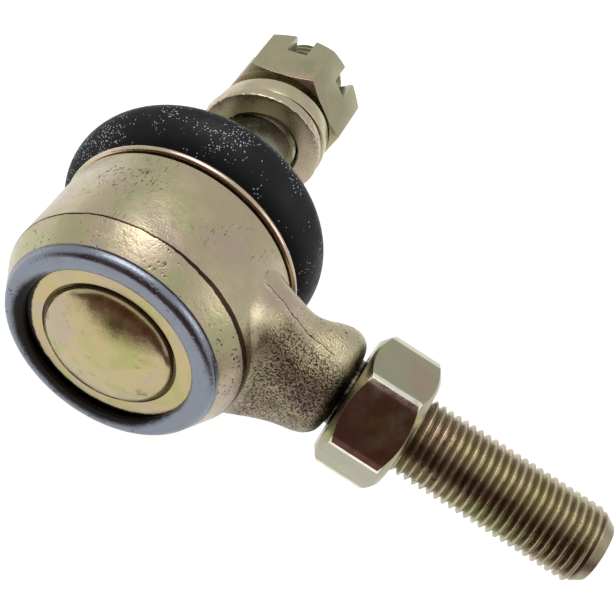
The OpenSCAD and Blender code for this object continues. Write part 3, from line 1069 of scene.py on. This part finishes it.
@dataclass
class Boot:
    """Rubber boot between the eye's collar and the stud, in millimetres."""

    widest_r: float = 20.4
    widest_h: float = 10.5
    wall: float = 1.7
    small_r: float = 9.0
    crown_h: float = 15.3
    fillet: float = 4.0
    bead_in: float = 16.5
    bead_out: float = 17.5
    bead_bottom: float = 3.5
    bead_top: float = 5.4
    top: float = 22.5
    lean_wide: tuple[float, float] = (-0.05, -0.11)
    shift_wide: tuple[float, float] = (-0.75, 0.0)

    def outline(self) -> tuple[list[Point], list[Point]]:
        """Gives the outer wall from bead to top, and the inner wall the same way."""
        crown_r = self.small_r + self.fillet
        neck_h = self.crown_h + self.fillet
        wide, tall = self.widest_r - crown_r, self.crown_h - self.widest_h
        outer = [(self.bead_in, self.bead_bottom), (self.bead_out - 0.1, self.bead_bottom),
                 (self.bead_out, self.bead_bottom + 0.2), (self.bead_out, self.bead_top)]
        outer += arc(crown_r, self.widest_h, wide, tall, -56, -3, 20)
        outer += arc(crown_r, self.widest_h, wide, tall, -2, 2, 8)
        outer += arc(crown_r, self.widest_h, wide, tall, 4, 90, 34)
        outer += arc(crown_r, neck_h, self.fillet, self.fillet, -100, -180, 12)
        outer += [(self.small_r, self.top - 0.3), (self.small_r - 0.3, self.top),
                  (self.small_r - self.wall, self.top)]
        inner = [(self.bead_in, self.bead_bottom), (self.bead_in, self.bead_top + 1)]
        inner += arc(crown_r, self.widest_h, wide - self.wall, tall - self.wall, -46, 90, 30)
        inner += arc(crown_r, neck_h, self.fillet + self.wall, self.fillet + self.wall, -98, -180, 10)
        inner += [(self.small_r - self.wall, self.top)]
        return outer, inner

    def point(self, radius: float, height: float, around: float) -> Vector:
        """Gives a point of the boot, leaning more with height up to its widest ring.

        Args:
            radius: Distance from the boot's middle line.
            height: Height on an upright boot.
            around: Share of the way round.

        Returns:
            The point on the leaning boot.
        """
        axis = LAYOUT.stud_direction()
        on_stud = Vector((axis.x / axis.y, axis.z / axis.y))
        neck_h = self.crown_h + self.fillet
        rise = smooth_step((height - self.bead_top) / (self.widest_h - self.bead_top))
        rest = smooth_step((height - self.widest_h) / (neck_h - self.widest_h))
        lean = rise * (Vector(self.lean_wide) * (1 - rest) + on_stud * rest)
        shift = smooth_step((height - self.bead_top) / (neck_h - self.bead_top)) * height * on_stud
        shift += rise * (1 - rest) * Vector(self.shift_wide)
        up = Vector((lean.x, 1.0, lean.y)).normalized()
        east = up.cross(Vector((0.0, 0.0, 1.0))).normalized()
        north = east.cross(up)
        a = 2 * math.pi * around
        return Vector((shift.x, height, shift.y)) + radius * (math.cos(a) * east + math.sin(a) * north)

    def make_half(self, name: str, keep: Callable[[float], bool]) -> Obj:
        """Wraps the part of the wall whose heights are kept, closed at its cut."""
        outer, inner = self.outline()
        loop = [p for p in outer if keep(p[1])] + [p for p in reversed(inner) if keep(p[1])]
        loop.append(loop[0])
        last = len(loop) - 1

        def place(u: float, v: float) -> Vector:
            """Gives the loop's point nearest to v, at u round the boot."""
            radius, height = loop[round(v * last)]
            return self.point(radius, height, u)

        return settle(wrap(name, 160, last, place), Matrix.Identity(4), 50.0)

    def build(self, effects: Effects) -> list[Obj]:
        """Builds the boot in two halves that meet at the widest ring."""
        lower = self.make_half("boot_lower", lambda h: h <= self.widest_h + 1e-6)
        upper = self.make_half("boot_upper", lambda h: h >= self.widest_h - 1e-6)
        rubber = Rubber().material(effects)
        for piece in (lower, upper):
            piece.data.materials.append(rubber)
            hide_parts("boot")
        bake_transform(lower)
        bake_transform(upper)
        return [lower, upper]


@dataclass
class Stud:
    """Ball stud and the ring on the boot's small end, in millimetres."""

    ball_r: float = 11.0
    waist_r: float = 5.2
    land_r: float = 7.0
    taper_r: float = 6.65
    taper_from: float = 23.4
    taper_to: float = 35.5
    thread_r: float = 6.0
    pitch: float = 1.25
    top: float = 60.2
    cotter_at: float = 50.5
    cotter_r: float = 1.6
    ring_r: float = 9.3
    ring_wall: float = 0.9
    ring_from: float = 20.9

    def make_stud(self) -> Obj:
        """Turns the ball, waist, land and taper, rolls the thread and drills the cotter hole."""
        small = self.taper_r - (self.taper_to - self.taper_from) / 20
        start = math.degrees(math.acos(self.waist_r / self.ball_r))
        outline = arc(0.0, 0.0, self.ball_r, self.ball_r, -90, start, 48)
        outline += [(self.waist_r, 13.0), (self.land_r - 0.4, 15.9), (self.land_r, 16.3),
                    (self.land_r, self.taper_from - 0.3), (self.taper_r, self.taper_from),
                    (small, self.taper_to - 0.3), (small - 0.5, self.taper_to + 0.2),
                    (5.3, self.taper_to + 0.3), (0.0, self.taper_to + 0.3)]
        core = lathe("ball_stud_turned", outline, 96)
        thread = rolled_thread("stud_thread", self.thread_r, self.pitch, self.taper_to - 0.4, self.top)

        def limit(height: float) -> float:
            """Chamfer at the stud's end."""
            return min(self.thread_r, self.thread_r - 1.3 + (self.top - height))

        hold_in(thread, limit)
        deselect()
        bpy.ops.mesh.primitive_cylinder_add(vertices=40, radius=self.cotter_r, depth=30.0)
        drill = named("drill")
        slot_turn = Matrix.Rotation(math.radians(LAYOUT.castle_turn + 30), 4, "Z")
        drill.data.transform(Matrix.Translation((0, 0, self.cotter_at)) @ slot_turn @ LAYOUT.shank())
        combine(thread, drill, "DIFFERENCE")
        return settle(join(core, thread), LAYOUT.stud(), 28.0)

    def make_ring(self) -> Obj:
        """Turns the ring on the boot's small end."""
        outer = self.ring_r + self.ring_wall
        high = self.ring_from + 1.0
        outline = [(self.ring_r, self.ring_from), (outer, self.ring_from), (outer, high), (self.ring_r, high),
                   (self.ring_r, self.ring_from)]
        return settle(soften(lathe("boot_top_ring_wire", outline, 128), 0.25), LAYOUT.stud())

    def build(self, effects: Effects) -> list[Obj]:
        """Builds and dresses the stud and the ring."""
        stud, ring = self.make_stud(), self.make_ring()
        turned = Zinc("stud_zinc", base=(0.34, 0.34, 0.25), green=(0.3, 0.32, 0.22), rose=(0.3, 0.28, 0.22),
                      rough=0.24)
        bright = Zinc("top_ring_steel", base=(0.5, 0.5, 0.48), tint=0.2)
        stand_for(stud, turned.material(effects), "ball_stud", "stud", "stud")
        stand_for(ring, bright.material(effects), "boot_top_ring", "boot_collar", "top_ring")
        return [stud, ring]


@dataclass
class Washers:
    """Loose flat washer and split spring washer, in millimetres."""

    bore_r: float = 6.5
    flat_r: float = 10.0
    flat_t: float = 2.0
    spring_r: float = 9.7
    spring_t: float = 3.2
    rise: float = 1.3
    cut: float = 9.0

    def make_flat(self) -> Obj:
        """Stamps the flat washer, with a ragged edge where the punch broke through."""
        outline = [(self.bore_r, 0.0), (self.flat_r - 0.7, 0.0), (self.flat_r, 0.0), (self.flat_r, 0.7),
                   (self.flat_r, self.flat_t), (self.bore_r, self.flat_t), (self.bore_r, 0.0)]
        washer = soften(lathe("flat_washer_stamped", outline, 240), 0.22, 3)

        def tear(p: Vector) -> Vector:
            """Roughens the lower rim."""
            radius = math.hypot(p.x, p.y)
            if radius < self.flat_r - 0.4 or p.z > 0.9:
                return p
            jag = min(0.0, noise.noise(Vector((p.x * 2.2, p.y * 2.2, 0.3))) * 0.3)
            return Vector((p.x * (1 + jag / radius), p.y * (1 + jag / radius), p.z))

        return settle(reshape(washer, tear), LAYOUT.washer(), 35.0)

    def make_spring(self) -> Obj:
        """Bends the spring washer from square wire, one cut end above the other."""
        outline = [(self.bore_r, 0.0), (self.spring_r, 0.0), (self.spring_r, self.spring_t),
                   (self.bore_r, self.spring_t), (self.bore_r, 0.0)]
        sweep = 360.0 - self.cut
        ring = lathe("spring_washer_wound", outline, 160, sweep)
        edit_all(ring)
        bpy.ops.mesh.select_all(action="DESELECT")
        bpy.ops.mesh.select_non_manifold()
        bpy.ops.mesh.fill_holes(sides=0)
        bpy.ops.object.mode_set(mode="OBJECT")
        clean(ring)
        soften(ring, 0.18, 3, 35.0)

        def climb(p: Vector) -> Vector:
            """Raises the wire along its turn."""
            share = (math.degrees(math.atan2(p.y, p.x)) % 360.0) / sweep
            if share > 1.0 + self.cut / 720.0:
                share = 0.0
            return Vector((p.x, p.y, p.z + self.rise * min(1.0, share)))

        reshape(ring, climb)
        turn = Matrix.Rotation(math.radians(180.0 + self.cut / 2), 4, "Z")
        middle = self.flat_t + (self.spring_t + self.rise) / 2
        slip = middle * math.tan(math.radians(LAYOUT.washer_lean))
        up = Matrix.Translation((slip, 0.0, self.flat_t + 0.05))
        return settle(ring, LAYOUT.washer() @ up @ turn, 35.0)

    def build(self, effects: Effects) -> list[Obj]:
        """Builds and dresses both washers."""
        flat, spring = self.make_flat(), self.make_spring()
        stamped = Zinc("washer_zinc", base=(0.47, 0.40, 0.28))
        wound = Zinc("spring_zinc", base=(0.48, 0.43, 0.29))
        stand_for(flat, stamped.material(effects), "flat_washer", "washers", "washer")
        stand_for(spring, wound.material(effects), "spring_washer", "washers", "spring_ring")
        return [flat, spring]


@dataclass
class Nut:
    """Hexagon nut, plain or slotted, in millimetres."""

    name: str
    slot: str
    place: Matrix
    turn: float
    slots: int = 0
    flats: float = 18.6
    height: float = 10.0
    bore_r: float = 6.05
    slot_w: float = 3.5
    slot_depth: float = 5.2
    base: Point = (8.7, 1.5)
    crown: Point = (8.7, 1.5)
    round: float = 0.65

    @property
    def corner_r(self) -> float:
        """Radius over the corners."""
        return self.flats / 2 / math.cos(math.radians(30))

    def make(self) -> Obj:
        """Mills the hexagon, turns both chamfers, bores it and cuts the slots."""
        deselect()
        bpy.ops.mesh.primitive_cylinder_add(vertices=6, radius=self.corner_r, depth=self.height,
                                            location=(0.0, 0.0, 0.0))
        nut = named(f"{self.name}_milled")
        nut.data.transform(Matrix.Translation((0, 0, self.height / 2))
                           @ Matrix.Rotation(math.radians(-90), 4, "Z"))
        h, sink = self.height, 0.6
        turned = lathe("turned", [
            (self.bore_r + sink, 0.0), (self.base[0], 0.0), (self.corner_r + 0.02, self.base[1]),
            (self.corner_r + 0.02, h - self.crown[1]), (self.crown[0], h), (self.bore_r + sink, h),
            (self.bore_r, h - sink), (self.bore_r, sink), (self.bore_r + sink, 0.0)], 96)
        combine(nut, turned, "INTERSECT")
        for i in range(self.slots // 2):
            deselect()
            bpy.ops.mesh.primitive_cube_add(size=1.0)
            cutter = named("cutter")
            size = Matrix.Diagonal((3 * self.corner_r, self.slot_w, 2 * self.slot_depth, 1.0))
            turn = Matrix.Rotation(math.radians(30 + 60 * i), 4, "Z")
            cutter.data.transform(turn @ Matrix.Translation((0, 0, h)) @ size)
            combine(nut, cutter, "DIFFERENCE")
        clean(nut, 1e-3)
        return soften(nut, self.round, 3, 18.0)

    def build(self, effects: Effects, finish: Zinc) -> list[Obj]:
        """Builds and dresses the nut.

        Args:
            effects: The shared shader groups.
            finish: The nut's finish.

        Returns:
            The finished nut.
        """
        piece = settle(self.make(), self.place @ Matrix.Rotation(math.radians(self.turn), 4, "Z"), 35.0)
        stand_for(piece, finish.material(effects), self.name, self.name, self.slot)
        return [piece]


def dress_inner_parts(effects: Effects) -> None:
    """Gives the sealed inner pieces their finishes; their shapes stay as the frame has them."""
    seat = Plastic().material(effects)
    spring = Zinc("spring_steel_dark", base=(0.2, 0.2, 0.21), green=(0.16, 0.17, 0.18), rose=(0.22, 0.2, 0.2))
    finishes = {"lower_seat": seat, "upper_seat": seat, "preload_spring": spring.material(effects)}
    for name, material in finishes.items():
        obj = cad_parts[name]
        for i in range(len(obj.material_slots)):
            obj.material_slots[i].material = material


# ---------------------------------------------------------------- studio

@dataclass
class Studio:
    """Pale floor, soft light and the camera, in metres."""

    lens: float = 87.95
    eye_point: tuple[float, float, float] = (0.023533, -0.141949, 0.160488)
    right: tuple[float, float, float] = (0.84192, 0.40184, 0.36013)
    up: tuple[float, float, float] = (-0.53932, 0.60498, 0.58577)
    floor_size: float = 3.0

    def add_camera(self) -> None:
        """Adds the camera."""
        data = bpy.data.cameras.new("camera")
        data.lens = self.lens
        data.sensor_width = 36.0
        data.clip_start = 0.01
        camera = bpy.data.objects.new("camera", data)
        bpy.context.collection.objects.link(camera)
        right = Vector(self.right).normalized()
        up = (Vector(self.up) - right * right.dot(Vector(self.up))).normalized()
        back = right.cross(up)
        turn = Matrix((right, up, back)).transposed().to_4x4()
        camera.matrix_world = Matrix.Translation(self.eye_point) @ turn
        bpy.context.scene.camera = camera

    def add_floor(self) -> None:
        """Adds the floor under the part."""
        deselect()
        low = CAD_BOUNDS[0][2]
        bpy.ops.mesh.primitive_plane_add(size=self.floor_size, location=(0.0, 0.0, low - 0.0002))
        floor = named("floor")
        mat, n, _ = blank_material("floor_paper")
        soft = n.add("ShaderNodeBsdfDiffuse", {"Color": (0.25, 0.25, 0.25, 1.0)})
        glow = n.add("ShaderNodeEmission", {"Color": (1.0, 1.0, 1.0, 1.0), "Strength": 0.9})
        both = n.add("ShaderNodeAddShader", {0: soft.outputs[0], 1: glow.outputs[0]})
        n.add("ShaderNodeOutputMaterial", {"Surface": both.outputs[0]})
        floor.data.materials.append(mat)

    def add_cards(self) -> None:
        """Adds the dark room in front of the part, seen by reflections alone: a wall and a strip of floor."""
        low = CAD_BOUNDS[0][2]
        mat, n, _ = blank_material("card_brown")
        glow = n.add("ShaderNodeEmission", {"Color": (0.11, 0.04, 0.034, 1.0), "Strength": 1.0})
        n.add("ShaderNodeOutputMaterial", {"Surface": glow.outputs[0]})
        cards = (("card_wall", (-0.35, 0.45), (-0.26, -0.26), 0.31),
                 ("card_floor", (-0.35, 0.45), (-0.075, -0.26), 0.001),
                 ("card_side", (0.065, 0.45), (-0.014, -0.075), 0.001))
        for name, across, deep, high in cards:
            deselect()
            bpy.ops.mesh.primitive_plane_add(size=1.0)
            card = named(name)
            for v in card.data.vertices:
                back = v.co.y > 0
                v.co = Vector((across[v.co.x > 0], deep[back], low + (high if back else 0.001)))
            card.data.materials.append(mat)
            card.visible_camera = False
            card.visible_diffuse = False
            card.visible_shadow = False

    def add_light(self) -> None:
        """Lights the part evenly, a little stronger from above."""
        world = bpy.data.worlds.new("studio")
        bpy.context.scene.world = world
        world.use_nodes = True
        n = Nodes(world.node_tree)
        sky = n.add("ShaderNodeBackground", {"Color": (1.0, 1.0, 1.0, 1.0), "Strength": 0.78})
        n.add("ShaderNodeOutputWorld", {"Surface": sky.outputs[0]})
        lamps = (("key", (-0.2, 0.1, 0.5), 0.35, 1.6), ("fill", (0.45, 0.1, 0.35), 0.3, 0.5))
        for name, where, size, power in lamps:
            data = bpy.data.lights.new(name, "AREA")
            data.size = size
            data.energy = power
            light = bpy.data.objects.new(name, data)
            bpy.context.collection.objects.link(light)
            light.location = where
            light.rotation_euler = Vector(where).to_track_quat("Z", "Y").to_euler()

    def build(self) -> None:
        """Sets the studio up."""
        self.add_camera()
        self.add_floor()
        self.add_cards()
        self.add_light()
        bpy.context.scene.view_settings.view_transform = "Standard"


def main() -> None:
    """Builds each sub-assembly and logs it."""
    logging.basicConfig(level=logging.INFO, format="%(name)s: %(message)s")
    Studio().build()
    effects = Effects()
    stud_up = LAYOUT.stud() @ Matrix.Translation((0.0, 0.0, LAYOUT.castle_from))
    shank_along = Matrix.Translation((LAYOUT.jam_from, 0.0, 0.0)) @ Matrix.Rotation(
        math.radians(LAYOUT.jam_turn), 4, "X") @ LAYOUT.shank()
    castle = Nut("castle_nut", "castle", stud_up, LAYOUT.castle_turn, slots=6, height=12.4,
                 base=(9.4, 0.8), crown=(8.9, 1.9), round=0.28)
    jam = Nut("jam_nut", "jam", shank_along, 0.0, height=10.4)
    pieces = Housing().build(effects) + Cover().build(effects) + Boot().build(effects) + Stud().build(effects)
    pieces += Washers().build(effects)
    castle_finish = Zinc("castle_zinc", base=(0.36, 0.33, 0.205), green=(0.29, 0.3, 0.17),
                         rose=(0.38, 0.29, 0.21), rough=0.3)
    jam_finish = JamZinc("jam_zinc", base=(0.33, 0.32, 0.225), green=(0.34, 0.35, 0.15),
                         rose=(0.36, 0.29, 0.2), tint_scale=170.0, tint=1.0, rough=0.22)
    pieces += castle.build(effects, castle_finish) + jam.build(effects, jam_finish)
    dress_inner_parts(effects)
    for piece in pieces:
        LOG.info("%s: %d faces", piece.name, len(piece.data.polygons))


if __name__ == "__main__":
    main()
